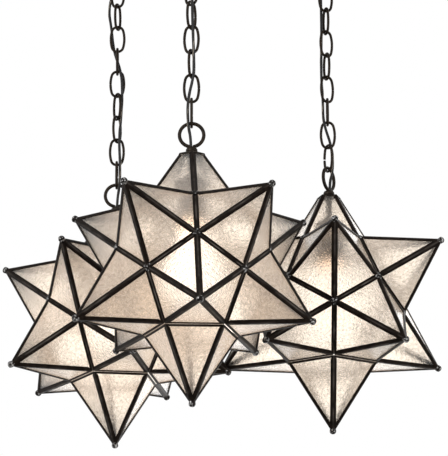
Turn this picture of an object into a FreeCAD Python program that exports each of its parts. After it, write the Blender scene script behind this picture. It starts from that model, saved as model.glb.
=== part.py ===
import FreeCAD, Part
import math
import os

# Cluster of three twelve-pointed glass stars, each hung by a chain from one round ceiling canopy.
# Millimetres. The origin is the middle of the ceiling plane, +Z is up and -Y is the front.

V = FreeCAD.Vector
ORIGIN = V(0, 0, 0)
UP = V(0, 0, 1)

# The star: a dodecahedron with a five-sided point on every face, the top point cut short
TIP_R = 152.4            # centre of the star to the end of a point
VALLEY_R = 90.2          # centre of the star to the corners where three points meet
CAP_CUT = 22.6           # how far under its tip the top point is cut
CAP_Z = TIP_R - CAP_CUT
CAME_T = 0.9             # folded metal strip
RIDGE_FLANGE = 3.7       # how far a strip covers the glass beside a ridge
VALLEY_FLANGE = 3.1      # and beside a valley
GLASS_T = 2.5
GLASS_INSET = 1.2        # the glass stops this far from the folds
BEAD_R = 3.3             # solder on the end of each point
BEAD_BACK = 2.6          # the bead's middle, back from the tip
SEAT = 0.05              # glass to strip, cap to strip, and one point's strips to the next

# The cap plate on the cut top point
CAP_OVERHANG = 0.15
CAP_PLATE = 1.6

# Screw loops, the same at the canopy and on the stars
LOOP_D = 30.9            # outside
LOOP_WIRE = 4.0
COLLAR_D = 13.0
COLLAR_H = 8.0
COLLAR_LAP = 1.4         # how far the ring sinks into its collar
CORD_BORE = 4.4

# The chain
LINK_WIRE = 3.0
LINK_PITCH = 28.8
LINK_W = 19.5            # outside
LINK_END_R = 7.0         # bend at a link's ends, on the wire's centre line
LINK_COUNT = 9
LINK_PLAY = 0.15         # between one link and the next
OPENED_SEAM = 1.3        # the last link, opened to take the star
CORD_D = 3.2
CORD_RISE = 5.5          # straight run of the cord over a collar
CORD_SHARE = 0.45        # of the shorter run, taken by each bend
CORD_IN_HOLDER = 16.0    # the cord's end under the top of the holder
CORD_END = 8.0           # its other end under the ceiling

# Lamp holder and lamp
STEM_D = 6.4
HOLDER_D = 34.0
HOLDER_DROP = 23.8       # top of the holder under the cut
HOLDER_TOP = CAP_Z - HOLDER_DROP
HOLDER_H = 54.0
HOLDER_CROWN = 7.0
HOLDER_CROWN_D = 16.0
HOLDER_BORE = 27.6
HOLDER_DEPTH = 30.0
LAMP_BASE_D = 26.6
LAMP_BASE_H = 25.0
LAMP_D = 60.0
LAMP_LOW = -38.0         # lowest point of the lamp, from the star's centre
LAMP_WALL = 1.0
LAMP_PLAY = 0.3

# The bottom point is a door to the lamp, hinged on one of its five sides
DOOR_GAP = 0.5
KNUCKLE_D = 3.2
KNUCKLE_L = 9.0
KNUCKLE_GAP = 0.4
PIN_D = 1.6
PIN_PLAY = 0.08
PIN_PROUD = 1.5
HINGE_STAND = 0.15       # knuckle to the strips beside it
CATCH_W = 10.0
CATCH_LAP = 5.0
CATCH_T = 0.7
CATCH_STAND = 0.3

# The canopy
PENDANT_R = 147.25       # the stars' circle
CANOPY_EDGE = 30.75      # from that circle to the canopy's rim
CANOPY_D = 2 * (PENDANT_R + CANOPY_EDGE)
CANOPY_H = 28.0
CANOPY_WALL = 1.4
CANOPY_TAPER = 14.0      # how much smaller its underside is in radius
STUD_D = 9.4             # threaded stem of a canopy loop
STUD_PLAY = 0.3
NUT_D = 17.0
NUT_H = 4.0
STUD_TOP = 8.0           # how far the stem stands over the canopy's sheet

# The strap that carries the canopy from a ceiling box
STRAP_L = 150.0
STRAP_W = 22.0
STRAP_T = 2.5
BOX_SCREWS = 88.9        # spacing of the slots over the ceiling box's screws
SLOT_W = 5.0
SLOT_L = 14.0
SCREW_SPAN = 128.0       # spacing of the two screws that hold the canopy
SCREW_D = 4.0
SCREW_PLAY = 0.25
CAP_NUT_D = 11.0
CAP_NUT_H = 7.0

# Each pendant: place on the circle, turn of the star, how far its canopy loop hangs down, turn of the
# loop on the star, turns of the links from the top one down, the side of the door's hinge, and where the
# cord passes the bearings, as (x, y) from the chain, from the star's loop up to the canopy's.
PENDANTS = {
    "front": {
        "azimuth": -98.61,
        "star_turn": -121.64,
        "drop": 12.0,
        "loop_turn": 0.0,
        "link_turns": (57, 147, 57, 147, 57, 165, 70, 0, 90),
        "door_side": 3,
        "cord_at": [
            (-4.1, -4.1), (-4.4, -4.4), (3, -5), (2.6, -5.6), (1.4, -5.9),
            (1, -5.8), (1.2, -5.6), (1.2, -5.6), (1.2, -5.6), (1, -6),
        ],
    },
    "left": {
        "azimuth": 141.39,
        "star_turn": -115.38,
        "drop": 10.8,
        "loop_turn": 0.0,
        "link_turns": (160, 70, 180, 90, 180, 120, 60, 0, 90),
        "door_side": 3,
        "cord_at": [
            (4, -4.1), (4.1, -4.3), (2.6, -4.6), (4.9, -0.4), (6.4, -3.8),
            (5, -5), (-4.8, 4.8), (-4.4, 4.6), (-3.6, 5.6), (-3.3, 5.4),
        ],
    },
    "right": {
        "azimuth": 21.39,
        "star_turn": -89.81,
        "drop": 3.1,
        "loop_turn": 60.0,
        "link_turns": (105, 20, 108, 32, 110, 30, 90, 0, 120),
        "door_side": 2,
        "cord_at": [
            (5.5, 0.3), (5.2, 5.2), (-5.6, -5.2), (-5, 2.2), (-6.6, 2.4),
            (-6.2, 2.2), (-5.4, 2), (-5.4, 2.4), (-5.4, 2.8), (-5.1, 3.3),
        ],
    },
}


# ---- plain shapes

def polar(radius, degrees, z=0.0):
    a = math.radians(degrees)
    return V(radius * math.cos(a), radius * math.sin(a), z)


def unit(v):
    return V(v).normalize()


def face_of(points):
    return Part.Face(Part.makePolygon(list(points) + [points[0]]))


def solid_of(faces):
    shell = Part.makeShell(faces)
    shell.sewShape()
    solid = Part.Solid(shell)
    if solid.Volume < 0:
        solid.reverse()
    return solid


def between(outer, inner):
    """The solid between two flat polygons whose corners correspond."""
    n = len(outer)
    sides = [face_of([outer[i], outer[(i + 1) % n], inner[(i + 1) % n], inner[i]]) for i in range(n)]
    return solid_of([face_of(outer), face_of(inner)] + sides)


def tube(radius, start, end):
    run = end.sub(start)
    return Part.makeCylinder(radius, run.Length, start, run)


def spun(profile, centre=ORIGIN):
    """A profile of (radius, height) corners turned once round the vertical axis."""
    points = [V(r, 0, z) for r, z in profile]
    solid = face_of(points).revolve(ORIGIN, UP, 360)
    solid.translate(centre)
    return solid


def inset(points, distances, normal):
    """Moves each edge of a flat polygon inwards by its own distance."""
    n = len(points)
    lines = []
    for i in range(n):
        a = points[i]
        along = unit(points[(i + 1) % n].sub(a))
        inwards = normal.cross(along)
        lines.append((a.add(inwards * distances[i]), along))
    corners = []
    for i in range(n):
        p, d = lines[i - 1]
        q, e = lines[i]
        # p + s d lies on the line through q along e
        across = normal.cross(e)
        s = q.sub(p).dot(across) / d.dot(across)
        corners.append(p.add(d * s))
    return corners


# ---- the star's geometry, round its own centre with one point up

RING_Z = 1 / math.sqrt(5)
RING_R = 2 / math.sqrt(5)


def point_axes():
    """Directions of the twelve points: one up, five upper, five lower and one down."""
    axes = {"up": V(0, 0, 1)}
    for k in range(5):
        axes["upper%d" % k] = polar(RING_R, 72 * k, RING_Z)
        axes["lower%d" % k] = polar(RING_R, 72 * k + 36, -RING_Z)
    axes["down"] = V(0, 0, -1)
    return axes


AXES = point_axes()


def neighbours(name):
    """The five points round a point, anticlockwise from outside."""
    t = AXES[name]
    near = [n for n, a in AXES.items() if abs(a.dot(t) - RING_Z) < 0.01]
    x = unit(AXES[near[0]].sub(t * AXES[near[0]].dot(t)))
    y = t.cross(x)
    return sorted(near, key=lambda n: math.atan2(AXES[n].dot(y), AXES[n].dot(x)))


def panes_of(name):
    """The triangles of a point, each with the neighbour that it faces: (neighbour, tip, corner, corner)."""
    around = neighbours(name)
    t = AXES[name]
    corners = [
        unit(t.add(AXES[around[i]]).add(AXES[around[(i + 1) % 5]])) * VALLEY_R for i in range(5)
    ]
    return [(around[i], t * TIP_R, corners[i - 1], corners[i]) for i in range(5)]


def normal_of(a, b, c):
    n = unit(b.sub(a).cross(c.sub(a)))
    return n if n.dot(a) > 0 else n * -1.0


FIRST = panes_of("down")[0]
PANE_NORMAL = normal_of(*FIRST[1:])
PANE_DEPTH = FIRST[1].dot(PANE_NORMAL)   # distance of every pane's plane from the centre


def at_depth(depth):
    """Every outer plane lies equally far from the centre, so a layer under it is the star at this scale."""
    return (PANE_DEPTH - depth) / PANE_DEPTH


def scaled(points, k):
    return [p * k for p in points]


def narrowed(name, gap):
    """A point's panes with their valley side moved towards the tip by a gap."""
    panes = []
    for other, tip, a, b in panes_of(name):
        height = tip.sub((a.add(b)) * 0.5).Length
        k = gap / height
        panes.append((other, tip, a.add(tip.sub(a) * k), b.add(tip.sub(b) * k)))
    return panes


def came_cage(panes):
    """The folded strips of one point, soldered into a cage with a window in each side."""
    inner = at_depth(CAME_T)
    faces = []
    for _, tip, a, b in panes:
        faces.append(face_of([tip, a, b]))
        faces.append(face_of(scaled([tip, a, b], inner)))
        faces.append(face_of([a, b, b * inner, a * inner]))
    cage = solid_of(faces)
    for _, tip, a, b in panes:
        normal = normal_of(tip, a, b)
        window = inset([tip, a, b], [RIDGE_FLANGE, VALLEY_FLANGE, RIDGE_FLANGE], turn_of(tip, a, b))
        hole = between(
            [p.add(normal * CAME_T) for p in window], [p.sub(normal * (2 * CAME_T)) for p in window]
        )
        cage = cage.cut(hole)
    return cage


def turn_of(tip, a, b):
    """The normal about which tip, a, b run anticlockwise."""
    return unit(a.sub(tip).cross(b.sub(tip)))


def pane_glass(panes):
    sheets = []
    for _, tip, a, b in panes:
        outline = inset([tip, a, b], [GLASS_INSET] * 3, turn_of(tip, a, b))
        front = scaled(outline, at_depth(CAME_T + SEAT))
        back = scaled(outline, at_depth(CAME_T + SEAT + GLASS_T))
        sheets.append(between(front, back))
    return sheets


def above(z):
    size = 4 * TIP_R
    return Part.makeBox(size, size, size, V(-size / 2, -size / 2, z))


def star_frame():
    """Eleven came cages, one per fixed point, with a solder bead on each end but the cut one."""
    cages = []
    for name in AXES:
        if name == "down":
            continue
        cage = came_cage(narrowed(name, SEAT))
        if name == "up":
            cage = cage.cut(above(CAP_Z))
        else:
            cage = cage.fuse(Part.makeSphere(BEAD_R, AXES[name] * (TIP_R - BEAD_BACK)))
        cages.append(cage)
    return cages


def star_panes():
    sheets = []
    for name in AXES:
        if name == "down":
            continue
        for sheet in pane_glass(panes_of(name)):
            sheets.append(sheet.cut(above(CAP_Z - SEAT)) if name == "up" else sheet)
    return sheets


def pentagon_cone(depth, low, high):
    """The up point's outer form at a depth under its planes (over them where negative), between two heights."""
    k = at_depth(depth)
    panes = panes_of("up")
    tip = panes[0][1] * k
    z = panes[0][2].z * k
    rings = []
    for level in (high, low):
        share = (tip.z - level) / (tip.z - z)
        rings.append([V(p[2].x * k * share, p[2].y * k * share, level) for p in panes])
    return between(*rings)


def star_cap():
    """A five-sided plate that lies on the cut point, with a hole for the stem."""
    low = CAP_Z + SEAT
    plate = pentagon_cone(-CAP_OVERHANG, low, low + CAP_PLATE)
    return plate.cut(tube((STEM_D + STUD_PLAY) / 2, V(0, 0, low - 1), V(0, 0, low + CAP_PLATE + 1)))


CAP_TOP = CAP_Z + SEAT + CAP_PLATE
LOOP_CENTRE = CAP_TOP + COLLAR_H - COLLAR_LAP + LOOP_D / 2
LOOP_MID_R = (LOOP_D - LOOP_WIRE) / 2
LOOP_SEAT = LOOP_CENTRE + LOOP_D / 2 - LOOP_WIRE   # the ring's inner top, which the last link carries


def screw_loop():
    """A ring in the XZ plane on a bored collar, standing on z = 0."""
    ring = Part.makeTorus(LOOP_MID_R, LOOP_WIRE / 2, V(0, 0, COLLAR_H - COLLAR_LAP + LOOP_D / 2), V(0, 1, 0))
    r = COLLAR_D / 2
    h = COLLAR_H
    foot = r * 0.8
    profile = [(0, 0), (foot, 0), (foot, h * 0.14), (r, h * 0.34), (r, h * 0.6), (r * 0.88, h * 0.8)]
    profile += [(r * 0.55, h), (0, h)]
    collar = spun(profile)
    bore = tube(CORD_BORE / 2, V(0, 0, -1), V(0, 0, COLLAR_H + LOOP_WIRE))
    return collar.fuse(ring).cut(bore)


def star_loop(turn):
    loop = screw_loop()
    loop.translate(V(0, 0, CAP_TOP))
    loop.rotate(ORIGIN, UP, turn)
    return loop


def lamp_holder():
    """A threaded stem down from the loop, and the holder on its end, open below."""
    stem = tube(STEM_D / 2, V(0, 0, HOLDER_TOP - 2), V(0, 0, CAP_TOP))
    stem = stem.cut(tube(CORD_BORE / 2, V(0, 0, HOLDER_TOP - 3), V(0, 0, CAP_TOP + 1)))
    r = HOLDER_D / 2
    crown = HOLDER_CROWN_D / 2
    low = HOLDER_TOP - HOLDER_H
    bore = HOLDER_BORE / 2
    top = HOLDER_TOP - 2
    body = spun([
        (CORD_BORE / 2, top), (crown, top), (crown + 2, top - HOLDER_CROWN * 0.4), (r, top - HOLDER_CROWN),
        (r, low), (bore, low), (bore, low + HOLDER_DEPTH), (CORD_BORE / 2, low + HOLDER_DEPTH),
    ])
    return [stem, body]


def lamp():
    """Screw base and a pear-shaped glass on it, hanging down."""
    base_low = HOLDER_TOP - HOLDER_H
    base = tube(LAMP_BASE_D / 2, V(0, 0, base_low), V(0, 0, base_low + LAMP_BASE_H))
    r = LAMP_D / 2
    centre = LAMP_LOW + r
    neck = LAMP_BASE_D / 2 - 0.5
    top = base_low - LAMP_PLAY
    # the neck's curve leaves the ball at 40 degrees over its middle
    joint_angle = math.radians(40)

    def envelope(off):
        ball = r - off
        join = V(ball * math.cos(joint_angle), 0, centre + ball * math.sin(joint_angle))
        start = V(neck - off, 0, top)
        waist = V((join.x + start.x) / 2 - 2.5, 0, (join.z + start.z) / 2 - 1.5)
        low = V(0, 0, centre - ball)
        side = V(ball * math.cos(joint_angle / 2 - 0.6), 0, centre + ball * math.sin(joint_angle / 2 - 0.6))
        return start, Part.Arc(start, waist, join).toShape(), Part.Arc(join, side, low).toShape(), low

    start, neck_out, ball_out, low = envelope(0.0)
    inner_start, neck_in, ball_in, inner_low = envelope(LAMP_WALL)
    wire = Part.Wire([
        neck_out, ball_out, Part.makeLine(low, inner_low), ball_in, neck_in, Part.makeLine(inner_start, start),
    ])
    glass = Part.Face(wire).revolve(ORIGIN, UP, 360)
    return [base, glass]


# ---- the door: the bottom point, its hinge and its catch

def hinge_frame(side):
    """(middle of the hinge line, its direction, direction outwards) for the door's side facing lower point."""
    for other, tip, a, b in panes_of("down"):
        if other == "lower%d" % side:
            middle = (a.add(b)) * 0.5
            door_normal = normal_of(tip, a, b)
            for facing, far_tip, c, d in panes_of(other):
                if facing == "down":
                    fixed_normal = normal_of(far_tip, c, d)
            outwards = unit(door_normal.add(fixed_normal))
            away = (KNUCKLE_D / 2 + HINGE_STAND) / outwards.dot(door_normal)
            along = unit(UP.cross(AXES[other]))
            return middle.add(outwards * away), along, outwards, door_normal, fixed_normal


def knuckle(middle, along, offset, normal):
    """One knuckle with the fillet of solder that holds it to the strip under it."""
    r = KNUCKLE_D / 2
    start = middle.add(along * (offset - KNUCKLE_L / 2))
    end = middle.add(along * (offset + KNUCKLE_L / 2))
    barrel = tube(r, start, end)
    across = normal.cross(along)
    foot = r * 0.45          # short of the strips on the other side of the valley
    depth = r + HINGE_STAND
    corners = [
        start.add(across * foot), start.sub(across * foot),
        start.sub(across * foot).sub(normal * depth), start.add(across * foot).sub(normal * depth),
    ]
    fillet = between(corners, [c.add(along * KNUCKLE_L) for c in corners])
    bore = tube(PIN_D / 2 + PIN_PLAY, start.sub(along), end.add(along))
    return barrel.fuse(fillet).cut(bore)


KNUCKLE_STEP = KNUCKLE_L + KNUCKLE_GAP


def star_hinge(side):
    """The two outer knuckles on the fixed point beside the door, and the pin through all three."""
    middle, along, _, _, fixed_normal = hinge_frame(side)
    reach = KNUCKLE_STEP + KNUCKLE_L / 2 + PIN_PROUD
    pin = tube(PIN_D / 2, middle.sub(along * reach), middle.add(along * reach))
    return [knuckle(middle, along, s * KNUCKLE_STEP, fixed_normal) for s in (-1, 1)] + [pin]


def door_frame(side):
    """The bottom point's cage, with its bead, its middle knuckle and a catch over the opposite valley."""
    cage = came_cage(narrowed("down", DOOR_GAP))
    cage = cage.fuse(Part.makeSphere(BEAD_R, AXES["down"] * (TIP_R - BEAD_BACK)))
    middle, along, _, door_normal, _ = hinge_frame(side)
    cage = cage.fuse(knuckle(middle, along, 0.0, door_normal))
    return cage.fuse(door_catch(side))


def door_catch(side):
    """A bent tab on the door's far corner. It lies on the door's two strips there and laps the frame's valley."""
    hinge_mid = hinge_frame(side)[0]
    panes = panes_of("down")
    far = max(panes, key=lambda p: p[2].sub(V(hinge_mid.x, hinge_mid.y, p[2].z)).Length)
    other, tip, a, b = far
    middle = (a.add(b)) * 0.5
    door_normal = normal_of(tip, a, b)
    up_door = unit(tip.sub(middle))
    for facing, far_tip, c, d in panes_of(other):
        if facing == "down":
            fixed_normal = normal_of(far_tip, c, d)
            up_fixed = unit(far_tip.sub((c.add(d)) * 0.5))
    along = unit(b.sub(a)) * (CATCH_W / 2)
    outwards = unit(door_normal.add(fixed_normal))
    bend = middle.add(outwards * (CATCH_STAND / outwards.dot(fixed_normal)))
    bend_out = middle.add(outwards * ((CATCH_STAND + CATCH_T) / outwards.dot(fixed_normal)))
    foot = middle.add(up_door * CATCH_LAP)
    edge = bend.add(up_fixed * CATCH_LAP)
    section = [
        foot, foot.add(door_normal * (CATCH_STAND + CATCH_T)), bend_out,
        edge.add(fixed_normal * CATCH_T), edge, bend, middle.add(up_door * (2 * DOOR_GAP)),
    ]
    return between([p.sub(along) for p in section], [p.add(along) for p in section])


def door_panes():
    return pane_glass(narrowed("down", DOOR_GAP))


# ---- chain

def ring_of_arcs(half_length, half_width, end_r, wire_r):
    """A link in the XZ plane: two end bends and two long side bends, all tangent, of round wire."""
    m = half_length - end_r
    side_r = (half_width ** 2 + m ** 2 - end_r ** 2) / (2 * (half_width - end_r))
    back = side_r - half_width
    lean = math.degrees(math.atan2(back, m))     # of the end bend's half angle, from the link's length
    pieces = []
    for s in (1, -1):
        top = V(0, 0, s * half_length)
        section = Part.Face(Part.Wire(Part.makeCircle(wire_r, top, V(1, 0, 0))))
        centre = V(0, 0, s * m)
        bend = section.copy()
        bend.rotate(centre, V(0, 1, 0), -lean)
        pieces.append(bend.revolve(centre, V(0, 1, 0), 2 * lean))
        side = V(s * half_width, 0, 0)
        section = Part.Face(Part.Wire(Part.makeCircle(wire_r, side, UP)))
        centre = V(-s * back, 0, 0)
        swing = 90 - lean
        bend = section.copy()
        bend.rotate(centre, V(0, 1, 0), -swing)
        pieces.append(bend.revolve(centre, V(0, 1, 0), 2 * swing))
    return pieces[0].fuse(pieces[1:])


LINK_INSIDE = LINK_PITCH + LINK_PLAY


def chain_link(seat_z, turn, seam):
    """A link whose inner top rests on the bar over it. seat_z is the inner top's height."""
    r = LINK_WIRE / 2
    link = ring_of_arcs(LINK_INSIDE / 2 + r, LINK_W / 2 - r, LINK_END_R, r)
    if seam:
        slot = Part.makeBox(LINK_W, LINK_W, seam, V(LINK_W / 2 - 2 * LINK_WIRE, -LINK_W / 2, -seam / 2))
        link = link.cut(slot)
    link.rotate(ORIGIN, UP, turn)
    link.translate(V(0, 0, seat_z - LINK_INSIDE / 2))
    return link


# ---- canopy

def canopy_pan():
    """A round spun pan, open at the ceiling, with holes for three loops and two screws."""
    rim = CANOPY_D / 2
    low = rim - CANOPY_TAPER
    w = CANOPY_WALL
    step = 5.0
    outside = [(low, -CANOPY_H), (low + step, -CANOPY_H + 2), (rim - 2, -step), (rim, -2), (rim, 0)]
    inside = [(rim - w, 0), (rim - w, -2 - w / 2), (rim - 2 - w, -step - w / 2),
              (low + step - w, -CANOPY_H + 2 + w), (low - w, -CANOPY_H + w)]
    pan = spun([(0, -CANOPY_H)] + outside + inside + [(0, -CANOPY_H + w)])
    for p in PENDANTS.values():
        centre = polar(PENDANT_R, p["azimuth"], -CANOPY_H - 1)
        pan = pan.cut(tube((STUD_D + STUD_PLAY) / 2, centre, centre.add(V(0, 0, w + 2))))
    for s in (-1, 1):
        centre = V(s * SCREW_SPAN / 2, 0, -CANOPY_H - 1)
        pan = pan.cut(tube(SCREW_D / 2 + SCREW_PLAY, centre, centre.add(V(0, 0, w + 2))))
    return pan


def canopy_loop(p):
    """A screw loop hanging from a threaded stem, with its nut inside the canopy."""
    loop = screw_loop()
    loop.rotate(ORIGIN, V(1, 0, 0), 180)
    loop.rotate(ORIGIN, UP, p["link_turns"][0] + 90)
    place = polar(PENDANT_R, p["azimuth"])
    loop.translate(place.add(V(0, 0, -CANOPY_H - p["drop"])))
    top = -CANOPY_H + CANOPY_WALL + STUD_TOP
    stem = tube(STUD_D / 2, place.add(V(0, 0, -CANOPY_H - p["drop"])), place.add(V(0, 0, top)))
    flange = tube(NUT_D / 2, place.add(V(0, 0, -CANOPY_H - 1.5)), place.add(V(0, 0, -CANOPY_H)))
    bore = tube(CORD_BORE / 2, place.add(V(0, 0, -CANOPY_H - p["drop"] - 1)), place.add(V(0, 0, top + 1)))
    loop = loop.fuse([stem, flange]).cut(bore)
    nut_low = -CANOPY_H + CANOPY_WALL
    corners = [polar(NUT_D / 2, 60 * k).add(place) for k in range(6)]
    nut = between([c.add(V(0, 0, nut_low)) for c in corners], [c.add(V(0, 0, nut_low + NUT_H)) for c in corners])
    nut = nut.cut(tube(STUD_D / 2, place.add(V(0, 0, nut_low - 1)), place.add(V(0, 0, nut_low + NUT_H + 1))))
    return [loop, nut]


def slot(length, width, depth, centre):
    half = (length - width) / 2
    body = Part.makeBox(2 * half, width, depth, centre.add(V(-half, -width / 2, 0)))
    ends = [tube(width / 2, centre.add(V(s * half, 0, 0)), centre.add(V(s * half, 0, depth))) for s in (-1, 1)]
    return body.fuse(ends)


def ceiling_strap():
    """A flat strap under the ceiling box, with the two screws and cap nuts that hold the canopy."""
    strap = Part.makeBox(STRAP_L, STRAP_W, STRAP_T, V(-STRAP_L / 2, -STRAP_W / 2, -STRAP_T))
    for s in (-1, 1):
        strap = strap.cut(slot(SLOT_L, SLOT_W, STRAP_T + 2, V(s * BOX_SCREWS / 2, 0, -STRAP_T - 1)))
        hole = V(s * SCREW_SPAN / 2, 0, -STRAP_T - 1)
        strap = strap.cut(tube(SCREW_D / 2 + SCREW_PLAY, hole, hole.add(V(0, 0, STRAP_T + 2))))
    pieces = [strap]
    for s in (-1, 1):
        x = s * SCREW_SPAN / 2
        head = tube(SCREW_D, V(x, 0, -STRAP_T - 2.4), V(x, 0, -STRAP_T))
        shank = tube(SCREW_D / 2, V(x, 0, -CANOPY_H - CAP_NUT_H / 2), V(x, 0, -0.6))
        nut = spun([
            (SCREW_D / 2, -CANOPY_H), (CAP_NUT_D / 2, -CANOPY_H), (CAP_NUT_D / 2, -CANOPY_H - 2),
            (CAP_NUT_D / 2 - 2, -CANOPY_H - CAP_NUT_H + 1), (0, -CANOPY_H - CAP_NUT_H),
            (0, -CANOPY_H - CAP_NUT_H / 2), (SCREW_D / 2, -CANOPY_H - CAP_NUT_H / 2),
        ], V(x, 0, 0))
        pieces += [head.fuse(shank), nut]
    return pieces


# ---- cord

def cord_route(p, centre_z):
    """From the lamp holder up through its stem and loop, in and out of the links, and into the canopy."""
    bearing = centre_z + LOOP_SEAT - LINK_PLAY
    canopy_collar = centre_z + LOOP_SEAT - LINK_PLAY + LINK_PITCH * LINK_COUNT - LOOP_WIRE + LOOP_D - COLLAR_LAP
    place = polar(PENDANT_R, p["azimuth"])
    points = [V(0, 0, centre_z + HOLDER_TOP - CORD_IN_HOLDER), V(0, 0, centre_z + CAP_TOP + COLLAR_H + CORD_RISE)]
    points += [V(x, y, bearing + LINK_PITCH * i) for i, (x, y) in enumerate(p["cord_at"])]
    points += [V(0, 0, canopy_collar - CORD_RISE), V(0, 0, -CORD_END)]
    return [place.add(q) for q in points]


def cord_solid(name, points):
    """Straight runs joined by tangent arcs, swept with a round section."""
    edges = []
    at = points[0]
    radii = []
    for before, corner, after in zip(points, points[1:], points[2:]):
        u = unit(corner.sub(before))
        v = unit(after.sub(corner))
        turn = u.getAngle(v)
        if turn < 0.002:
            continue
        reach = CORD_SHARE * min(corner.sub(before).Length, after.sub(corner).Length)
        radius = reach / math.tan(turn / 2)
        radii.append(radius)
        start = corner.sub(u * reach)
        end = corner.add(v * reach)
        towards = unit(v.sub(u))
        middle = corner.add(towards * (radius / math.cos(turn / 2) - radius))
        edges.append(Part.makeLine(at, start))
        edges.append(Part.Arc(start, middle, end).toShape())
        at = end
    edges.append(Part.makeLine(at, points[-1]))
    path = Part.Wire(edges)
    section = Part.Wire(Part.makeCircle(CORD_D / 2, points[0], UP))
    cord = path.makePipeShell([section], True, False)
    wanted = math.pi * (CORD_D / 2) ** 2 * path.Length
    print("%s cord radii %.0f to %.0f, volume %.4f of section x length" % (
        name, min(radii), max(radii), cord.Volume / wanted))
    return cord


# ---- putting it together

def save(name, solids):
    solids = solids if isinstance(solids, list) else [solids]
    for s in solids:
        if not s.isValid() or s.Volume <= 0:
            print("BAD", name, s.Volume)
    shape = solids[0] if len(solids) == 1 else Part.makeCompound(solids)
    shape.exportStep("parts/%s.step" % name)


def placed(solids, place, turn=0.0):
    solids = solids if isinstance(solids, list) else [solids]
    out = []
    for s in solids:
        s = s.copy()
        s.rotate(ORIGIN, UP, turn)
        s.translate(place)
        out.append(s)
    return out


os.makedirs("parts", exist_ok=True)
save("canopy_pan", canopy_pan())
save("ceiling_strap", ceiling_strap())
save("canopy_loops", [s for p in PENDANTS.values() for s in canopy_loop(p)])

FRAME = star_frame()
PANES = star_panes()
CAP = star_cap()
HOLDER = lamp_holder()
LAMP = lamp()
DOOR_PANES = door_panes()

for name, p in PENDANTS.items():
    top = polar(PENDANT_R, p["azimuth"])
    canopy_seat = -CANOPY_H - p["drop"] - COLLAR_H + COLLAR_LAP - LOOP_D + LOOP_WIRE
    seat = canopy_seat
    for i, turn in enumerate(p["link_turns"]):
        last = i == LINK_COUNT - 1
        link = chain_link(seat + LINK_PLAY, turn, OPENED_SEAM if last else 0.0)
        save("%s_link_%d" % (name, i + 1), placed(link, top))
        print("%s seat %d %.4f turn %g" % (name, i, seat, turn))
        seat -= LINK_PITCH
    centre = top.add(V(0, 0, seat + LINK_PLAY - LOOP_SEAT))
    print("%s star centre %.3f %.3f %.3f last seat %.4f" % (name, centre.x, centre.y, centre.z, seat))
    save("%s_cord" % name, cord_solid(name, cord_route(p, centre.z)))
    turn = p["star_turn"]
    side = p["door_side"]
    save("%s_loop" % name, placed(star_loop(p["loop_turn"]), centre))
    save("%s_cap" % name, placed(CAP, centre, turn))
    save("%s_frame" % name, placed(FRAME, centre, turn))
    save("%s_panes" % name, placed(PANES, centre, turn))
    save("%s_socket" % name, placed(HOLDER, centre))
    save("%s_bulb" % name, placed(LAMP, centre))
    save("%s_door_frame" % name, placed(door_frame(side), centre, turn))
    save("%s_door_panes" % name, placed(DOOR_PANES, centre, turn))
    save("%s_hinge" % name, placed(star_hinge(side), centre, turn))
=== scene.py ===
import bpy
import numpy as np
from mathutils import Matrix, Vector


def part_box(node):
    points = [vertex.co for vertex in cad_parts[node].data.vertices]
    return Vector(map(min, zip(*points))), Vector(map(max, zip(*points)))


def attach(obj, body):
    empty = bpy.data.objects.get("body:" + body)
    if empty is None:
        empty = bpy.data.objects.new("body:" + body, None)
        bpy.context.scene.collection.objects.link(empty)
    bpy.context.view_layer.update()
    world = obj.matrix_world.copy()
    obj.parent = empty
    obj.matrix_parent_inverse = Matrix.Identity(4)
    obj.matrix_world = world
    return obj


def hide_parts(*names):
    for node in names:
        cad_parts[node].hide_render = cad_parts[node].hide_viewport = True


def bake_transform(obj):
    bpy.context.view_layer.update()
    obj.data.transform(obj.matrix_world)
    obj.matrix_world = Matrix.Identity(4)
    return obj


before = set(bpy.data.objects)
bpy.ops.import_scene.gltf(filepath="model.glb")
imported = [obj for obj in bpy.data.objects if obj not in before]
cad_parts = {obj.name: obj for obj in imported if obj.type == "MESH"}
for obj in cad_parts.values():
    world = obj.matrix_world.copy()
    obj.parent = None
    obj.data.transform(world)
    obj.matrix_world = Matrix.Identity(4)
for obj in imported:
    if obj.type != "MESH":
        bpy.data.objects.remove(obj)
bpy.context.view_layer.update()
scene = bpy.context.scene
scene.view_settings.view_transform = "Standard"


# ---- The view
# A long lens, 2.8 m in front of the stars and 0.7 m below them, looks up by 16 degrees. So the undersides of
# the points show, and the chains run out of the picture at its top.

CAMERA_PLACE = (0.01314, -2.80954, -1.20620)
PITCH, ROLL = np.radians(15.831), np.radians(-0.321)


def stand(o, right, up, away, place):
    """Puts a camera or a light at a place, so that it looks against the direction called away."""
    scene.collection.objects.link(o)
    o.matrix_world = Matrix([[right[i], up[i], away[i], place[i]] for i in range(3)] + [[0, 0, 0, 1]])


level_right = np.array([1.0, 0.0, 0.0])
level_up = np.array([0.0, -np.sin(PITCH), np.cos(PITCH)])
ahead = np.array([0.0, np.cos(PITCH), np.sin(PITCH)])
camera = bpy.data.objects.new("camera", bpy.data.cameras.new("camera"))
camera.data.sensor_width = 36.0
camera.data.lens = 199.85
camera.data.clip_end = 30.0
stand(camera, np.cos(ROLL) * level_right + np.sin(ROLL) * level_up,
      np.cos(ROLL) * level_up - np.sin(ROLL) * level_right, -ahead, CAMERA_PLACE)
scene.camera = camera


# ---- Supply cords
# Each star is fed by a black round cord with a thin pale earth wire laid beside it. The cord is pushed in and
# out of the chain's links by hand, from the collar on the star up to the collar on the canopy.

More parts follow.
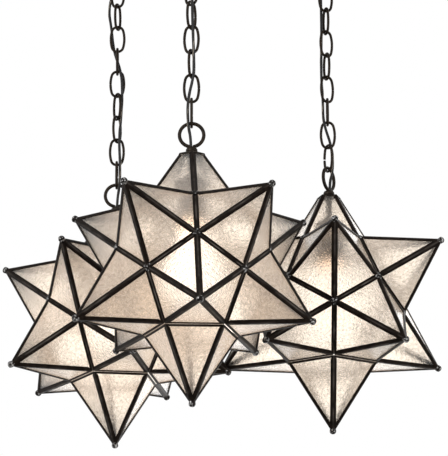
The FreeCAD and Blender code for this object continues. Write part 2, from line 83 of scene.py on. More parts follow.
PENDANTS = {
    # place is the chain's axis seen from above, centre_z the height of the star's centre, and canopy_seat
    # the height at which the first link bears. The turns are in degrees about the vertical, the links' from
    # the top one down. cord_at is how far the cord stands off the chain's axis at each bearing, in
    # millimetres, from the lowest bearing up.
    "front": {
        "place": (-0.022044, -0.145591), "centre_z": -0.4975, "canopy_seat": -0.0735, "star_turn": -121.64,
        "link_turns": (57, 147, 57, 147, 57, 165, 70, 0, 90),
        "cord_at": [
            (-4.1, -4.1), (-4.4, -4.4), (3.0, -5.0), (2.6, -5.6), (1.4, -5.9),
            (1.0, -5.8), (1.2, -5.6), (1.2, -5.6), (1.2, -5.6), (1.0, -6.0),
        ],
    },
    "left": {
        "place": (-0.115063, 0.091886), "centre_z": -0.4963, "canopy_seat": -0.0723, "star_turn": -115.38,
        "link_turns": (160, 70, 180, 90, 180, 120, 60, 0, 90),
        "cord_at": [
            (4.0, -4.1), (4.1, -4.3), (2.6, -4.6), (4.9, -0.4), (6.4, -3.8),
            (5.0, -5.0), (-4.8, 4.8), (-7.5, 6.3), (-12.0, 8.0), (-3.3, 5.4),
        ],
    },
    "right": {
        "place": (0.137107, 0.053704), "centre_z": -0.4886, "canopy_seat": -0.0646, "star_turn": -89.81,
        "link_turns": (105, 20, 108, 32, 110, 30, 90, 0, 120),
        "cord_at": [
            (5.5, 0.3), (5.2, 5.2), (-5.6, -5.2), (-5.0, 2.2), (-6.6, 2.4),
            (-6.2, 2.2), (-5.4, 2.0), (-5.4, 2.4), (-5.4, 2.8), (-5.1, 3.3),
        ],
    },
}
LINK_PITCH = 0.0288
LINK_COUNT = 9
LINK_PLAY = 0.00015                     # between one link's wire and the next, where they bear
LOOP_SEAT = 0.16495                     # from the star's centre up to the inner top of its ring
CORD_FOOT = 0.090                       # from the star's centre up to the cord's end in the lamp holder
CORD_OVER_COLLAR = 0.14495              # and to where it has straightened, above the star's collar
CORD_UNDER_COLLAR = 0.020               # from the first bearing up to its straight end, under the next collar
CORD_TOP = -0.008                       # height of its end inside the canopy
CORD_R, CORD_SIDES = 0.0016, 14
EARTH_R, EARTH_SIDES = 0.0005, 8
EARTH_OFF = 0.0013                      # from the black cord's middle to the pale wire's
EARTH_LAY = 0.075                       # length of one turn of the pale wire round the black cord


def material(name, colour, roughness, metallic=0.0, **sockets):
    """A Principled surface of one finish. Returns the material, its node tree and its shader."""
    m = bpy.data.materials.new(name)
    m.use_nodes = True
    shader = m.node_tree.nodes["Principled BSDF"]
    shader.inputs["Base Color"].default_value = (*colour, 1.0)
    shader.inputs["Roughness"].default_value = roughness
    shader.inputs["Metallic"].default_value = metallic
    for socket, value in sockets.items():
        shader.inputs[socket.replace("_", " ")].default_value = value
    return m, m.node_tree, shader


def node(tree, kind, links=None, **settings):
    """Adds a node, sets its options and inputs by name, and links its sockets by name or number."""
    n = tree.nodes.new(kind)
    for key, value in settings.items():
        if hasattr(n, key):
            setattr(n, key, value)
        else:
            n.inputs[key.replace("_", " ")].default_value = value
    for key, source in (links or {}).items():
        tree.links.new(source, n.inputs[key])
    return n


def two_tones(tree, value, low, high, dark, light):
    """A colour that runs from dark to light as a value runs from low to high."""
    ramp = node(tree, "ShaderNodeValToRGB", {0: value})
    for stop, position, colour in zip(ramp.color_ramp.elements, (low, high), (dark, light)):
        stop.position, stop.color = position, (*colour, 1.0)
    return ramp.outputs["Color"]


def mottled(tree, shader, dark, light, scale, low=0.35, high=0.65, bump=0.0):
    """Colour that drifts between two tones with a noise on Object coordinates, and a bump from the same
    noise. Returns the coordinates and the colour."""
    where = node(tree, "ShaderNodeTexCoord").outputs["Object"]
    noise = node(tree, "ShaderNodeTexNoise", {"Vector": where}, Scale=scale, Detail=4.0).outputs["Fac"]
    colour = two_tones(tree, noise, low, high, dark, light)
    tree.links.new(colour, shader.inputs["Base Color"])
    if bump:
        bumped = node(tree, "ShaderNodeBump", {"Height": noise}, Strength=bump, Distance=0.0006)
        tree.links.new(bumped.outputs["Normal"], shader.inputs["Normal"])
    return where, colour


def grid_faces(rows, sides, start=0):
    """The quads between rings of points that are numbered ring by ring."""
    i = np.arange(rows - 1)[:, None] * sides
    j = np.arange(sides)[None, :]
    j2 = (j + 1) % sides
    quads = np.stack([i + j, i + j2, i + sides + j2, i + sides + j], axis=-1)
    return quads.reshape(-1, 4) + start


def piece(name, points, faces, finish, smooth=True, attributes=None):
    """A mesh object at the origin with its place in its points, one finish, and smooth or flat faces."""
    mesh = bpy.data.meshes.new(name)
    points = np.asarray(points, float).reshape(-1, 3)
    mesh.from_pydata(points.tolist(), [], [list(map(int, face)) for face in faces])
    for key, values in (attributes or {}).items():
        attribute = mesh.attributes.new(key, "FLOAT", "POINT")
        attribute.data.foreach_set("value", np.asarray(values, np.float32).ravel())
    mesh.validate()
    mesh.polygons.foreach_set("use_smooth", np.full(len(mesh.polygons), smooth))
    mesh.materials.append(finish)
    o = bpy.data.objects.new(name, mesh)
    scene.collection.objects.link(o)
    return o


def unit(v):
    """Vectors made one long."""
    return v / np.linalg.norm(v, axis=-1, keepdims=True)


def round_tube(line, radius, sides, reference):
    """Rings of a circle carried along a line. At each point the ring's first direction is the reference made
    square to the line, and its second is the line's direction crossed with the first."""
    along = unit(np.gradient(line, axis=0))
    first = unit(reference - along * (along @ reference)[:, None])
    second = np.cross(along, first)
    a = np.linspace(0, 2 * np.pi, sides, endpoint=False)[None, :, None]
    ring = first[:, None, :] * np.cos(a) + second[:, None, :] * np.sin(a)
    return line[:, None, :] + ring * radius


cord_black, tree, shader = material("black cord", (0.012, 0.012, 0.013), 0.55, Specular_IOR_Level=0.3)
mottled(tree, shader, (0.006, 0.006, 0.007), (0.016, 0.015, 0.014), scale=900.0, bump=0.3)
earth_wire, tree, shader = material("pale earth wire", (0.3, 0.25, 0.18), 0.4, Specular_IOR_Level=0.4)
mottled(tree, shader, (0.06, 0.05, 0.035), (0.42, 0.36, 0.28), scale=90.0, low=0.42, high=0.62)


def cord_line(p):
    """The smooth line of one cord, from its foot up: a quadratic NURBS through the chain, which Blender
    evaluates."""
    x, y = p["place"]
    bearing = p["centre_z"] + LOOP_SEAT - LINK_PLAY
    points = [(x, y, p["centre_z"] + CORD_FOOT), (x, y, p["centre_z"] + CORD_OVER_COLLAR)]
    for i, (dx, dy) in enumerate(p["cord_at"]):
        points.append((x + dx / 1000, y + dy / 1000, bearing + LINK_PITCH * i))
    points += [(x, y, p["canopy_seat"] + CORD_UNDER_COLLAR), (x, y, CORD_TOP)]
    curve = bpy.data.curves.new("cord line", "CURVE")
    curve.dimensions = "3D"
    spline = curve.splines.new("NURBS")
    spline.points.add(len(points) - 1)
    spline.points.foreach_set("co", np.c_[np.array(points), np.ones(len(points))].ravel())
    spline.order_u = 3
    spline.use_endpoint_u = True
    spline.resolution_u = 12
    holder = bpy.data.objects.new("cord line", curve)
    mesh = bpy.data.meshes.new_from_object(holder)
    line = np.empty(len(mesh.vertices) * 3)
    mesh.vertices.foreach_get("co", line)
    bpy.data.objects.remove(holder)
    return line.reshape(-1, 3)


def cord_pieces(name, p):
    """The cord cut at the middle of every link. Each stretch crosses one bearing and bends over it."""
    line = cord_line(p)
    heights = line[:, 2]
    seats = [p["canopy_seat"] - LINK_PITCH * i for i in range(LINK_COUNT + 1)]
    cuts = [0.0] + [seat - LINK_PITCH / 2 for seat in seats[:-1]] + [p["centre_z"]]
    for i, seat in enumerate(seats):
        high, low = cuts[i], cuts[i + 1]
        ends = [z for z in (low, high) if heights[0] < z < heights[-1]]
        run = np.concatenate([
            line[(heights > low) & (heights < high)],
            [[np.interp(z, heights, values) for values in line.T] for z in ends],
        ])
        run = run[np.argsort(run[:, 2])]
        turn = 2 * np.pi * run[:, 2] / EARTH_LAY
        beside = run + EARTH_OFF * np.c_[np.cos(turn), np.sin(turn), np.zeros(len(run))]
        for label, middle, radius, sides, finish in (
            ("cord", run, CORD_R, CORD_SIDES, cord_black),
            ("earth", beside, EARTH_R, EARTH_SIDES, earth_wire),
        ):
            rings = round_tube(middle, radius, sides, np.array([1.0, 0.0, 0.0]))
            o = piece("%s_%s_%d" % (name, label, i + 1), rings, grid_faces(len(run), sides), finish)
            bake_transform(o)
    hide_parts(name + "_cord")


for name, p in PENDANTS.items():
    cord_pieces(name, p)


# ---- The room
# A plain white studio: a pale floor far below, white surroundings, and soft light from the front on both
# sides and from the back. To the eye, in reflections and through the glass the surroundings are full white.
# They light the stars at about half that.

SURROUND_SEEN, SURROUND_LIGHT = 1.0, 0.55
FLOOR_HALF, FLOOR_Z = 6.0, -2.3

world = bpy.data.worlds.new("studio")
scene.world = world
world.use_nodes = True
tree = world.node_tree
tree.nodes.clear()
rays = node(tree, "ShaderNodeLightPath").outputs
seen = node(tree, "ShaderNodeMath", {0: rays["Is Camera Ray"], 1: rays["Is Glossy Ray"]}, operation="MAXIMUM")
seen = node(tree, "ShaderNodeMath", {0: seen.outputs[0], 1: rays["Is Transmission Ray"]}, operation="MAXIMUM")
soft = node(tree, "ShaderNodeBackground", Color=(1.0, 1.0, 1.0, 1.0), Strength=SURROUND_LIGHT)
white = node(tree, "ShaderNodeBackground", Color=(1.0, 1.0, 1.0, 1.0), Strength=SURROUND_SEEN)
both = node(tree, "ShaderNodeMixShader", {0: seen.outputs[0], 1: soft.outputs[0], 2: white.outputs[0]})
node(tree, "ShaderNodeOutputWorld", {0: both.outputs[0]})

floor_paint, tree, shader = material("pale floor", (0.86, 0.86, 0.85), 0.6)
mottled(tree, shader, (0.84, 0.84, 0.83), (0.88, 0.88, 0.87), scale=3.0)
corners = [[x * FLOOR_HALF, y * FLOOR_HALF, FLOOR_Z] for x, y in ((-1, -1), (1, -1), (1, 1), (-1, 1))]
floor = piece("floor", corners, [[0, 1, 2, 3]], floor_paint, smooth=False)

for label, place, aim, power, size in (
    ("key light", (-1.6, -2.2, 0.4), (0, 0, -0.45), 34.0, 1.4),
    ("fill light", (2.0, -1.6, -0.9), (0, 0, -0.5), 16.0, 1.8),
    ("back light", (0.4, 2.2, -0.2), (0, 0, -0.5), 14.0, 1.6),
):
    lamp = bpy.data.lights.new(label, "AREA")
    lamp.energy = power
    lamp.size = size
    away = unit(np.subtract(place, aim))
    side = unit(np.cross([0, 0, 1.0], away))
    stand(bpy.data.objects.new(label, lamp), side, np.cross(away, side), away, place)


# ---- The canopy
# A spun steel pan painted dark bronze, held up by two cap nuts on the screws of a zinc-plated strap. Each
# chain hangs from a loop of its own, whose bored stud is held by a nut inside the pan.

BROWN_SHEEN = (1.0, 0.86, 0.72, 1.0)    # tint of the bronze paint's highlights, and of the came's

bronze, tree, shader = material("dark bronze paint", (0.03, 0.024, 0.02), 0.45, 0.1, Specular_IOR_Level=0.2,
                                Specular_Tint=BROWN_SHEEN)
mottled(tree, shader, (0.004, 0.003, 0.0025), (0.018, 0.012, 0.008), scale=160.0, bump=0.15)
zinc, tree, shader = material("zinc plate", (0.55, 0.56, 0.57), 0.35, 1.0)
mottled(tree, shader, (0.42, 0.43, 0.44), (0.66, 0.66, 0.67), scale=90.0, bump=0.1)


def dress(node_name, finish):
    """Gives a node of the frame its finish in every slot."""
    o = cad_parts[node_name]
    if not o.material_slots:
        o.data.materials.append(finish)
    for slot in o.material_slots:
        slot.material = finish


dress("canopy_pan", bronze)
dress("canopy_loops", bronze)
dress("ceiling_strap", zinc)


# ---- The chain
# Oval links bent from 3 mm steel wire and dipped in dark bronze paint. The two ends of each link's wire meet
# at the middle of one side. The last link's ends stand apart, because it was opened to take the star.

WIRE_R, WIRE_SIDES = 0.00157, 16
LINK_HALF = (LINK_PITCH + LINK_PLAY) / 2 + WIRE_R    # of the wire's centre line, along the link
LINK_HALF_W = 0.0195 / 2 - WIRE_R                    # and across it
LINK_END_R = 0.007                                   # of the centre line, in the end bends
SEAM, OPENED_SEAM = 0.0009, 0.0021                   # from the wire's one end to its other
END_SOFT = 0.25                                      # length of a wire end's rounding, in wire radii
END_TAPER = 0.72                                     # the last ring's radius, in wire radii
END_CROWN = 1.2                                      # where the end closes, in lengths of its rounding


def link_line(seam):
    """The wire's centre line in the XZ plane: a long arc, an end bend, a long arc and an end bend, all
    tangent. It starts and stops half a seam from the middle of the +X side."""
    m = LINK_HALF - LINK_END_R
    side_r = (LINK_HALF_W ** 2 + m ** 2 - LINK_END_R ** 2) / (2 * (LINK_HALF_W - LINK_END_R))
    back = side_r - LINK_HALF_W
    lean = np.arctan2(m, back)
    gap = seam / 2 / side_r
    line = []
    for x, z, radius, start, stop, steps in (
        (-back, 0.0, side_r, gap, lean, 14),
        (0.0, m, LINK_END_R, lean, np.pi - lean, 18),
        (back, 0.0, side_r, np.pi - lean, np.pi + lean, 26),
        (0.0, -m, LINK_END_R, np.pi + lean, 2 * np.pi - lean, 18),
        (-back, 0.0, side_r, 2 * np.pi - lean, 2 * np.pi - gap, 14),
    ):
        a = np.linspace(start, stop, steps)[1 if line else 0:]
        line.append(np.c_[x + radius * np.cos(a), np.zeros(len(a)), z + radius * np.sin(a)])
    return np.concatenate(line)


def turned(points, degrees):
    """Points turned about the vertical axis."""
    a = np.radians(degrees)
    x, y, z = np.moveaxis(np.asarray(points, float), -1, 0)
    return np.stack([x * np.cos(a) - y * np.sin(a), x * np.sin(a) + y * np.cos(a), z], axis=-1)


def closed_rings(rings, first, last):
    """The points and faces of rings joined one to the next, and closed on a point at each end."""
    rows, sides = rings.shape[:2]
    count = rows * sides
    j = np.arange(sides)
    j2 = (j + 1) % sides
    first_fan = np.stack([j2, j, np.full(sides, count)], axis=-1)
    last_fan = np.stack([count - sides + j, count - sides + j2, np.full(sides, count + 1)], axis=-1)
    points = np.concatenate([rings.reshape(-1, 3), [first], [last]])
    return points, [*grid_faces(rows, sides).tolist(), *first_fan.tolist(), *last_fan.tolist()]


def open_wire(line, radius, sides, reference):
    """A wire with slightly rounded ends: a round tube whose first and last rings draw in and close on a
    point."""
    rings = round_tube(line, radius, sides, reference)
    along = unit(np.gradient(line, axis=0))
    inward = along[0] * END_SOFT * radius
    outward = along[-1] * END_SOFT * radius
    first = line[0] + (rings[0] - line[0]) * END_TAPER - inward
    last = line[-1] + (rings[-1] - line[-1]) * END_TAPER + outward
    return closed_rings(np.concatenate([first[None], rings, last[None]]),
                        line[0] - inward * END_CROWN, line[-1] + outward * END_CROWN)


for name, p in PENDANTS.items():
    for i, turn in enumerate(p["link_turns"]):
        line = link_line(OPENED_SEAM if i == LINK_COUNT - 1 else SEAM)
        points, faces = open_wire(line, WIRE_R, WIRE_SIDES, np.array([0.0, 1.0, 0.0]))
        inner_top = p["canopy_seat"] - LINK_PITCH * i + LINK_PLAY
        centre = np.array([*p["place"], inner_top - LINK_HALF + WIRE_R])
        node_name = "%s_link_%d" % (name, i + 1)
        link = piece(node_name + "_wire", turned(points, turn) + centre, faces, bronze)
        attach(link, node_name + "_body")
        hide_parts(node_name)


# ---- Ring, collar and cap on each star
# The ring is brazed into a turned collar, which screws down on the stem. A five-sided plate under it closes
# the top point, where the point is cut off flat.

for name in PENDANTS:
    dress(name + "_loop", bronze)
    dress(name + "_cap", bronze)


# ---- The came
# Folded strips of dark patinated metal over every edge of the glass. On the outer folds the strip makes a
# ridge whose crest is a little paler in patches: partly wear, partly a painted highlight. In the valleys the
# two strips meet in a crease that carries a painted highlight in the same paler colour.

TIP_R = 0.1524                                # from the star's centre to the tip of a point
CORNER_R = 0.0902                             # and to a corner, where three points meet
TOP_CUT = 0.0275                              # from the top point's tip down to its cap, along a ridge
CAME_T = 0.0009
CAME_LIP = 0.3 * CAME_T                       # bevel along a flange's edge
RIDGE_FLANGE, VALLEY_FLANGE = 0.0043, 0.0031
LEAST_FLANGE = 0.0002                         # its width where a strip ends
RIDGE_ROUND, VALLEY_ROUND = 0.0011, 0.0008    # how far a fold's curve reaches into each flange
RIDGE_WEAR_AND_HIGHLIGHT, VALLEY_PAINTED_HIGHLIGHT = 0.55, 1.0           # how pale its crest is painted: wear with a painted highlight on ridges, a painted highlight in valleys
RIM_GAP, DOOR_GAP = 0.0002, 0.0005            # from the crease round the door to the strips on either side
RIM_LIP = 0.0003                              # bevel along the edge of those strips
HALF_TIP = np.tan(np.radians(19.3))           # width over length of a flange as it narrows, at a tip
HALF_BASE = np.tan(np.radians(35.3))          # and at a corner
# Paler colour of the crests: wear with a painted highlight on the ridges, a painted highlight in the valleys.
CREST_WEAR_AND_HIGHLIGHT_COLOUR = (0.15, 0.13, 0.115, 1.0)


def ranged(tree, value, low, high, to_low=0.0, to_high=1.0):
    """A value carried over from one range to another, and held at the ends."""
    return node(tree, "ShaderNodeMapRange", {"Value": value}, From_Min=low, From_Max=high,
                To_Min=to_low, To_Max=to_high).outputs[0]


came, tree, shader = material("patinated came", (0.03, 0.026, 0.024), 0.48, Specular_IOR_Level=0.07,
                              Specular_Tint=BROWN_SHEEN)
where, patina = mottled(tree, shader, (0.003, 0.002, 0.0017), (0.012, 0.008, 0.006), scale=220.0, bump=0.25)
# The crests are mixed towards the paler colour and made more metallic, in noisy patches. On the ridges this is
# wear with a painted highlight, and in the valley creases it is a painted highlight.
crest = node(tree, "ShaderNodeAttribute", attribute_name="crest")
wear_and_highlight_noise = node(tree, "ShaderNodeTexNoise", {"Vector": where}, Scale=38.0, Detail=3.0)
wear_and_highlight_patches = ranged(tree, wear_and_highlight_noise.outputs["Fac"], 0.42, 0.68)
wear_and_highlight_mask = node(tree, "ShaderNodeMath", {0: crest.outputs["Fac"], 1: wear_and_highlight_patches}, operation="MULTIPLY")
patina_with_wear_and_highlight = node(tree, "ShaderNodeMix", {"Factor": wear_and_highlight_mask.outputs[0], 6: patina}, data_type="RGBA")
patina_with_wear_and_highlight.inputs[7].default_value = CREST_WEAR_AND_HIGHLIGHT_COLOUR
tree.links.new(patina_with_wear_and_highlight.outputs[2], shader.inputs["Base Color"])
crest_metallic = node(tree, "ShaderNodeMath", {0: wear_and_highlight_mask.outputs[0]}, operation="MULTIPLY")
crest_metallic.inputs[1].default_value = 0.8
tree.links.new(crest_metallic.outputs[0], shader.inputs["Metallic"])


def star_axes():
    """Unit directions of the twelve points: up, five upper, five lower and down."""
    k = np.radians(72 * np.arange(5))
    half = np.radians(36)
    r, z = 2 / np.sqrt(5), 1 / np.sqrt(5)
    upper = np.c_[r * np.cos(k), r * np.sin(k), np.full(5, z)]
    lower = np.c_[r * np.cos(k + half), r * np.sin(k + half), np.full(5, -z)]
    return np.concatenate([[[0, 0, 1.0]], upper, lower, [[0, 0, -1.0]]])


AXES = star_axes()
UP_POINT, SIDE_POINTS, LOWER_POINTS, DOWN_POINT = 0, range(1, 11), range(6, 11), 11


def neighbours(t):
    """The points next to a point. Their directions are 63.4 degrees from its own."""
    return [n for n in range(len(AXES)) if abs(AXES[n] @ AXES[t] - 1 / np.sqrt(5)) < 0.01]


def panes(t):
    """A point's five panes as (neighbour, tip, corner, corner), anticlockwise seen from outside."""
    near = neighbours(t)
    x = AXES[near[0]] - AXES[t] * (AXES[near[0]] @ AXES[t])
    y = np.cross(AXES[t], x)
    near.sort(key=lambda n: np.arctan2(AXES[n] @ y, AXES[n] @ x))
    corner = [unit(AXES[t] + AXES[near[i]] + AXES[near[(i + 1) % 5]]) * CORNER_R for i in range(5)]
    return [(near[i], AXES[t] * TIP_R, corner[i - 1], corner[i]) for i in range(5)]


def flange(start, end, apex):
    """The direction in which a pane lies beside the fold from start to end, and the pane's outward normal.
    The apex is the pane's third corner."""
    along = unit(end - start)
    towards = unit(apex - start - along * ((apex - start) @ along))
    normal = unit(np.cross(start - apex, end - apex))
    return towards, normal * np.sign(normal @ start)


def bar_faces(rows, sides, start=0):
    """The faces of a closed bar: those between its rings, and its two ends."""
    stop = start + rows * sides
    ends = [list(range(start + sides - 1, start - 1, -1)), list(range(stop - sides, stop))]
    return grid_faces(rows, sides, start).tolist() + ends


def strip(folds, s, width, reach_start, reach_end, crest_round, crest_value):
    """Folded strips, all of one length. At each station s along the fold, the profile runs from the edge of
    one flange over the fold to the edge of the other, and back under them. A flange narrows to nothing at both
    ends, along the line that halves the glass's corner there. The fold is a quadratic curve between the
    flanges. Each of folds is (start, end, first flange, its normal, second flange, its normal)."""
    starts, ends, e1, n1, e2, n2 = np.moveaxis(np.array(folds), 1, 0)
    along = unit(ends - starts)
    length = np.linalg.norm(ends[0] - starts[0])
    w = np.minimum(np.minimum(width, s * reach_start), (length - s) * reach_end)
    w = np.maximum(w, LEAST_FLANGE)
    c = np.minimum(crest_round, w * 0.8)
    q = np.linspace(0, 1, 7)[1:-1]            # across the fold's curve, from one flange to the other
    under = -CAME_T * (n1 + n2) / (1 + (n1 * n2).sum(-1, keepdims=True))
    rows = starts[:, None, :] + along[:, None, :] * s[None, :, None]
    E1, E2, N1, N2, U = (v[:, None, None, :] for v in (e1, e2, n1, n2, under))
    W, C = (v[None, :, None, None] for v in (w, c))
    Q = q[None, None, :, None]
    parts = [
        E1 * W - N1 * CAME_T, E1 * W - N1 * CAME_LIP, E1 * (W - CAME_LIP), E1 * (W + C) / 2, E1 * C,
        E1 * C * (1 - Q) ** 2 + E2 * C * Q ** 2,
        E2 * C, E2 * (W + C) / 2, E2 * (W - CAME_LIP), E2 * W - N2 * CAME_LIP, E2 * W - N2 * CAME_T,
        U,
    ]
    count = (len(starts), len(s))
    profile = np.concatenate([np.broadcast_to(x, (*count, x.shape[2], 3)) for x in parts], axis=2)
    # How far each ring of the profile is painted paler: most on the middle of the fold, a little beside it.
    on_fold = crest_value * (1 - np.abs(q - 0.5) * 0.8)
    beside_fold = 0.15 * crest_value
    values = np.array([0, 0, 0, 0, beside_fold, *on_fold, beside_fold, 0, 0, 0, 0, 0])
    points = rows[:, :, None, :] + profile
    n, r, m = points.shape[:3]
    faces = [face for k in range(n) for face in bar_faces(r, m, k * r * m)]
    return points.reshape(-1, 3), faces, np.tile(values, n * r)


def joined(parts):
    """One mesh from several: points, faces and values, with the faces renumbered."""
    points, faces, values, at = [], [], [], 0
    for some_points, some_faces, some_values in parts:
        points.append(some_points)
        faces += [[i + at for i in face] for face in some_faces]
        values.append(some_values)
        at += len(some_points)
    return np.concatenate(points), faces, np.concatenate(values)


def ridge_strips(points_of, from_tip=0.0):
    """The ridge strips of some points, from the tip, or from a distance below it, down to the corners."""
    folds = []
    for t in points_of:
        five = panes(t)
        for (_, tip, a, b), (_, _, _, c) in zip(five, five[1:] + five[:1]):
            folds.append((tip, b, *flange(tip, b, c), *flange(tip, b, a)))
    length = np.linalg.norm(folds[0][1] - folds[0][0])
    narrows = RIDGE_FLANGE / HALF_BASE
    near_tip = [from_tip] if from_tip else [0.0012, 0.004, 0.0086, RIDGE_FLANGE / HALF_TIP]
    between = np.linspace(max(0.02, from_tip + 0.01), length - 0.012, 6)
    near_corner = [length - narrows, length - narrows * 0.65, length - 0.002, length - 0.0006]
    s = np.array([*near_tip, *between, *near_corner])
    return strip(folds, s, RIDGE_FLANGE, HALF_TIP, HALF_BASE, RIDGE_ROUND, RIDGE_WEAR_AND_HIGHLIGHT)


def valley_stations(length):
    """Distances along a valley, closer together near its two ends."""
    near = [0.0006, 0.002, 0.0043]
    return np.array([*near, *np.linspace(0.012, length - 0.012, 4), *(length - s for s in near[::-1])])


def valley_strips(pairs):
    """The valley strips between pairs of points, each with a flange on either side of the crease."""
    folds = []
    for t, other in pairs:
        tip, a, b = next(corners for facing, *corners in panes(t) if facing == other)
        folds.append((a, b, *flange(a, b, tip), *flange(a, b, AXES[other] * TIP_R)))
    s = valley_stations(np.linalg.norm(folds[0][1] - folds[0][0]))
    return strip(folds, s, VALLEY_FLANGE, HALF_BASE, HALF_BASE, VALLEY_ROUND, VALLEY_PAINTED_HIGHLIGHT)


def half_valley(t, others, gap):
    """The single flanges of one point along its valleys with some neighbours, a gap back from the crease."""
    parts = []
    for facing, tip, a, b in panes(t):
        if facing not in others:
            continue
        towards, normal = flange(a, b, tip)
        length = np.linalg.norm(b - a)
        s = valley_stations(length)
        w = np.minimum(np.minimum(VALLEY_FLANGE, s * HALF_BASE), (length - s) * HALF_BASE)
        w = np.maximum(w, gap + LEAST_FLANGE)[:, None]
        crease = a + unit(b - a) * s[:, None]
        inner, outer = crease + towards * gap, crease + towards * w
        profile = np.stack([inner, outer - towards * RIM_LIP, outer - normal * RIM_LIP,
                            outer - normal * CAME_T, inner - normal * CAME_T], axis=1)
        rows, sides = profile.shape[:2]
        # The edge of these flanges beside the crease gets half of the valley's painted highlight.
        values = np.tile([VALLEY_PAINTED_HIGHLIGHT / 2, 0.0, 0.0, 0.0, 0.0], rows)
        parts.append((profile.reshape(-1, 3), bar_faces(rows, sides), values))
    return joined(parts)


fixed_valleys = [(i, j) for i in range(DOWN_POINT) for j in neighbours(i) if i < j < DOWN_POINT]
fixed_came = joined([
    ridge_strips(SIDE_POINTS), ridge_strips([UP_POINT], TOP_CUT), valley_strips(fixed_valleys),
    *[half_valley(t, [DOWN_POINT], RIM_GAP) for t in LOWER_POINTS],
])
door_came = joined([ridge_strips([DOWN_POINT]), half_valley(DOWN_POINT, LOWER_POINTS, DOOR_GAP)])


def on_star(points, p):
    """From the star's own centre and turn to its place in the room."""
    return turned(points, p["star_turn"]) + np.array([*p["place"], p["centre_z"]])


for name, p in PENDANTS.items():
    for part, (points, faces, values), body in (
        ("frame", fixed_came, name + "_star"), ("door_frame", door_came, name + "_door"),
    ):
        o = piece("%s_%s_came" % (name, part), on_star(points, p), faces, came, False, {"crest": values})
        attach(o, body)
        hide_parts("%s_%s" % (name, part))


# ---- Solder
# Tin solder holds the strips together: a round bead on the end of each point, and a flattened blob over each
# corner where three points meet. It is darkened like the came, but stays shinier.

BEAD_R, BEAD_H = 0.0039, 0.0031     # half of a bead's width, and its height outwards from its middle
BEAD_SINK = 0.0026                  # how far its middle is inside the tip
BEAD_TAIL = 2.4                     # how many times further it reaches inwards than outwards
BEAD_LUMPS = 0.05                   # share by which its radius swells and dips
BLOB_R, BLOB_H = 0.0044, 0.0015
BLOB_SINK = 0.0006
BLOB_LUMPS = 0.18

solder, tree, shader = material("darkened solder", (0.2, 0.19, 0.18), 0.26, 0.6, Specular_IOR_Level=0.2)
mottled(tree, shader, (0.008, 0.006, 0.005), (0.42, 0.41, 0.40), scale=420.0, low=0.5, high=0.64, bump=0.8)


def drop(centre, axis, radius, height, lumps, seed, tail=1.0):
    """A drop of solder: a sphere stretched along its axis, whose radius swells and dips with the angle round
    it. Its inner half is drawn out by the tail."""
    u = np.linspace(0, np.pi, 12)[:, None]
    v = np.linspace(0, 2 * np.pi, 18, endpoint=False)
    swell = 1 + lumps * np.sin(u) * (np.cos(3 * v + seed) + 0.5 * np.sin(5 * v + 2 * seed))
    x = unit(np.cross(axis, [0.31, 0.17, 0.9] if abs(axis[2]) < 0.9 else [1.0, 0.2, 0.1]))
    y = np.cross(axis, x)
    out = (np.sin(u) * swell * radius)[..., None] * (np.cos(v)[:, None] * x + np.sin(v)[:, None] * y)
    up = (np.cos(u) * np.where(u > np.pi / 2, tail, 1.0) * height)[..., None] * axis
    rings = centre + out + up
    points, faces = closed_rings(rings[1:-1], rings[0, 0], rings[-1, 0])
    return points, [face[::-1] for face in faces], np.zeros(len(points))


def bead(t):
    """The bead on the end of a point."""
    return drop(AXES[t] * (TIP_R - BEAD_SINK), AXES[t], BEAD_R, BEAD_H, BEAD_LUMPS, t, BEAD_TAIL)


def corners_of(points_of):
    """The corners at the foot of some points, without repeats."""
    found = np.round([corner for t in points_of for _, _, _, corner in panes(t)], 7)
    return np.unique(found, axis=0)


# The door's corners carry no blobs, because its strips only lie beside the fixed ones there.
door_top = corners_of([DOWN_POINT])[:, 2].max()
blobs = [
    drop(corner - unit(corner) * BLOB_SINK, unit(corner), BLOB_R, BLOB_H, BLOB_LUMPS, i)
    for i, corner in enumerate(corners_of(range(len(AXES)))) if corner[2] > door_top + 0.001
]
fixed_solder = joined([bead(t) for t in SIDE_POINTS] + blobs)

for name, p in PENDANTS.items():
    for part, (points, faces, _), body in (
        ("solder", fixed_solder, name + "_star"), ("door_solder", bead(DOWN_POINT), name + "_door"),
    ):
        o = piece("%s_%s" % (name, part), on_star(points, p), faces, solder)
        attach(o, body)


# ---- The glass
# Seedy glass: drawn sheets full of small bubbles and faint waves, so that light comes through but everything
# behind is blurred. The panes near the lamp glow with a painted warm light, and the far ends of the points are
# darkened by painted shade.

PAINTED_LIGHT_NEAR, PAINTED_LIGHT_FAR = 0.05, 0.135     # the painted light is full up to the first distance, and gone at the second
GLASS_PAINTED_LIGHT = {                         # how far the painted light's middle is below the star's centre, and its strength
    "front": (0.015, 0.17),
    "left": (0.0, 0.20),
    "right": (0.0, 0.09),
}
GLASS_PAINTED_SHADE = {                         # painted shade: how far its middle is below, where it starts and is full, its tone
    "front": (0.04, 0.125, 0.16, 0.78),
    "left": (0.0, 0.075, 0.15, 0.72),
    "right": (0.02, 0.08, 0.15, 0.80),
}


def by_distance(tree, where, middle, near, far, inside, outside):
    """A value that goes from inside to outside as the distance from a middle goes from near to far."""
    reach = node(tree, "ShaderNodeVectorMath", {0: where}, operation="DISTANCE")
    reach.inputs[1].default_value = middle
    return ranged(tree, reach.outputs["Value"], near, far, inside, outside)


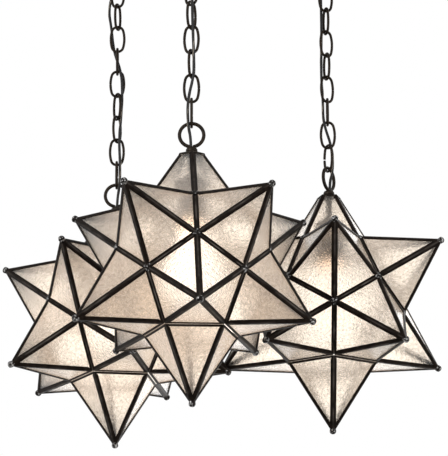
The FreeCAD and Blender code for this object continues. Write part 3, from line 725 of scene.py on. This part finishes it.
def seedy_glass(name, place, centre_z, light, painted_shade_settings):
    """Clear glass whose tone and bump come from noise and cells on Object coordinates. A painted warm light,
    which the glass gives off itself, and a painted shade that darkens its tone towards the tips both go by the
    distance from a point some way below the star's centre."""
    m, tree, shader = material(name, (0.93, 0.90, 0.84), 0.25, IOR=1.45, Transmission_Weight=0.94)
    where = node(tree, "ShaderNodeTexCoord").outputs["Object"]

    waves = node(tree, "ShaderNodeTexNoise", {"Vector": where}, Scale=70.0, Detail=3.0)
    bubbles = node(tree, "ShaderNodeTexVoronoi", {"Vector": where}, Scale=260.0)
    dots = ranged(tree, bubbles.outputs["Distance"], 0.12, 0.38)
    relief = node(tree, "ShaderNodeMath", {0: dots, 1: waves.outputs["Fac"]}, operation="ADD")
    bumped = node(tree, "ShaderNodeBump", {"Height": relief.outputs[0]}, Strength=0.28, Distance=0.0009)
    tree.links.new(bumped.outputs["Normal"], shader.inputs["Normal"])

    grain = node(tree, "ShaderNodeTexNoise", {"Vector": where}, Scale=300.0, Detail=6.0, Roughness=0.75)
    tone = two_tones(tree, grain.outputs["Fac"], 0.34, 0.58, (0.55, 0.505, 0.45), (0.935, 0.88, 0.815))
    # Painted shade: the glass's tone is darkened with the distance from a point below the star's centre.
    below, near, far, darkest = painted_shade_settings
    painted_shade = by_distance(tree, where, (*place, centre_z - below), near, far, 1.0, darkest)
    tone_with_painted_shade = node(tree, "ShaderNodeVectorMath", {0: tone, 1: painted_shade}, operation="MULTIPLY")
    tree.links.new(tone_with_painted_shade.outputs[0], shader.inputs["Base Color"])

    # Painted light: the glass itself glows warm near the lamp, less with the distance from a point below the
    # centre.
    below, strength = light
    lit = by_distance(tree, where, (*place, centre_z - below), PAINTED_LIGHT_NEAR, PAINTED_LIGHT_FAR, strength, 0.0)
    shader.inputs["Emission Color"].default_value = (1.0, 0.79, 0.62, 1.0)
    tree.links.new(lit, shader.inputs["Emission Strength"])
    return m


for name, p in PENDANTS.items():
    glass = seedy_glass(name + " seedy glass", p["place"], p["centre_z"],
                        GLASS_PAINTED_LIGHT[name], GLASS_PAINTED_SHADE[name])
    dress(name + "_panes", glass)
    dress(name + "_door_panes", glass)


# ---- Lamp holder, lamp and door hinge
# A threaded stem and a black moulded holder, a frosted lamp screwed into it, and the little hinge that lets
# the bottom point swing open to reach the lamp. The lamp burns white, and a little warmer at its neck.

LAMP_STRENGTH = {"front": 1.6, "left": 1.7, "right": 1.3}
LAMP_WHITE, NECK_WARM = (1.0, 0.95, 0.90, 1.0), (1.0, 0.60, 0.33, 1.0)
NECK_LOW, NECK_HIGH = 0.045, 0.020      # below the lamp's top: where the warmer light starts and is full

holder_black, tree, shader = material("moulded holder", (0.03, 0.028, 0.026), 0.45)
mottled(tree, shader, (0.02, 0.018, 0.017), (0.06, 0.055, 0.05), scale=300.0, bump=0.2)

for name in PENDANTS:
    lit_lamp, tree, shader = material(name + " lit lamp", (1.0, 0.95, 0.86), 0.4)
    where = node(tree, "ShaderNodeTexCoord").outputs["Object"]
    height = node(tree, "ShaderNodeSeparateXYZ", {0: where}).outputs["Z"]
    lamp_top = float(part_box(name + "_bulb")[1][2])
    neck = ranged(tree, height, lamp_top - NECK_LOW, lamp_top - NECK_HIGH)
    warm = node(tree, "ShaderNodeMix", {"Factor": neck}, data_type="RGBA")
    warm.inputs[6].default_value, warm.inputs[7].default_value = LAMP_WHITE, NECK_WARM
    tree.links.new(warm.outputs[2], shader.inputs["Emission Color"])
    shader.inputs["Emission Strength"].default_value = LAMP_STRENGTH[name]
    dress(name + "_socket", holder_black)
    dress(name + "_bulb", lit_lamp)
    dress(name + "_hinge", bronze)
